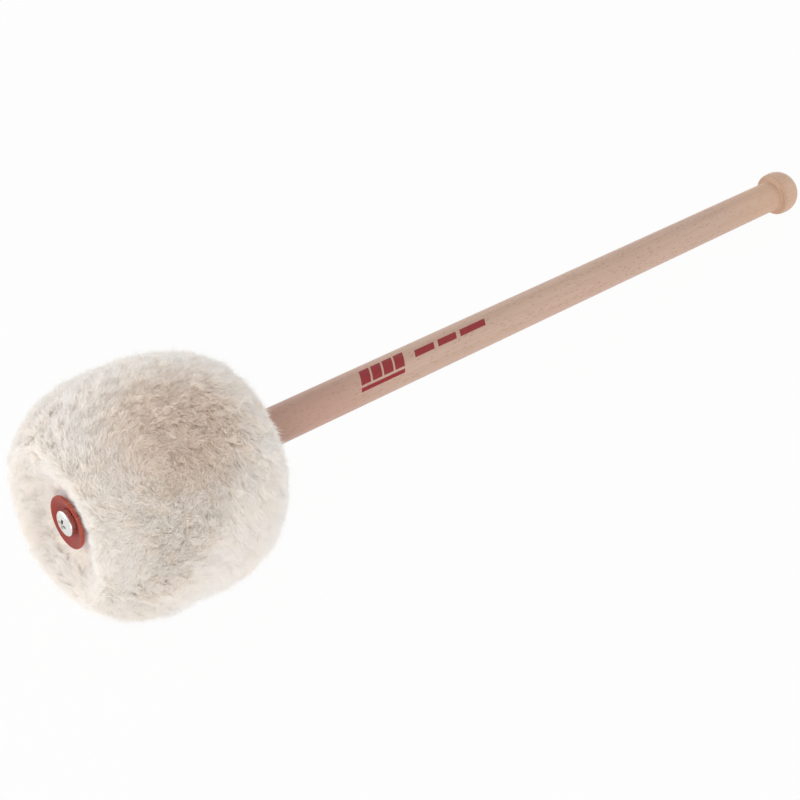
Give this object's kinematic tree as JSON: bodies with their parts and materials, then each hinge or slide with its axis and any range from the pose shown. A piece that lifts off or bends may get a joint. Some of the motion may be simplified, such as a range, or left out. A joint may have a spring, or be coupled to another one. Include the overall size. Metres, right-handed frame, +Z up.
{
  "type": "bass drum mallet",
  "caption": "Bass drum mallet with a fat fleece-covered felt head on a tapered turned wooden handle, for striking a large drum with a soft blow.",
  "frame": {"origin": "on the table under the middle of the mallet's length, with the mallet lying on its head and on its knob", "axes": "+X from the head towards the butt of the handle, +Z up from the table, +Y across; the handle leans down by 6.2 degrees towards its butt"},
  "size_m": [0.3878, 0.095, 0.0941],
  "materials": {
    "handle_wood": "pale beech, fine straight grain with short flecks, satin lacquer",
    "core_wood": "plain turned wood, unfinished",
    "firm_felt": "dense grey-white wool felt",
    "soft_felt": "soft white wool felt",
    "fleece": "cream fleece, short dense pile, slightly matted",
    "waxed_thread": "waxed cotton thread",
    "red_fibre": "red vulcanised fibre, slightly burnished",
    "nickel": "bright nickel plate"
  },
  "bodies": {
    "root": {"handle": "handle_wood", "head_core": "core_wood", "felt_strip": "firm_felt", "felt_jacket": "soft_felt", "rear_felt_disc": "soft_felt", "front_felt_disc": "soft_felt", "fleece_cover": "fleece", "rear_gather_thread": "waxed_thread", "front_gather_thread": "waxed_thread", "front_washer": "red_fibre", "retaining_screw": "nickel"}
  },
  "joints": []
}
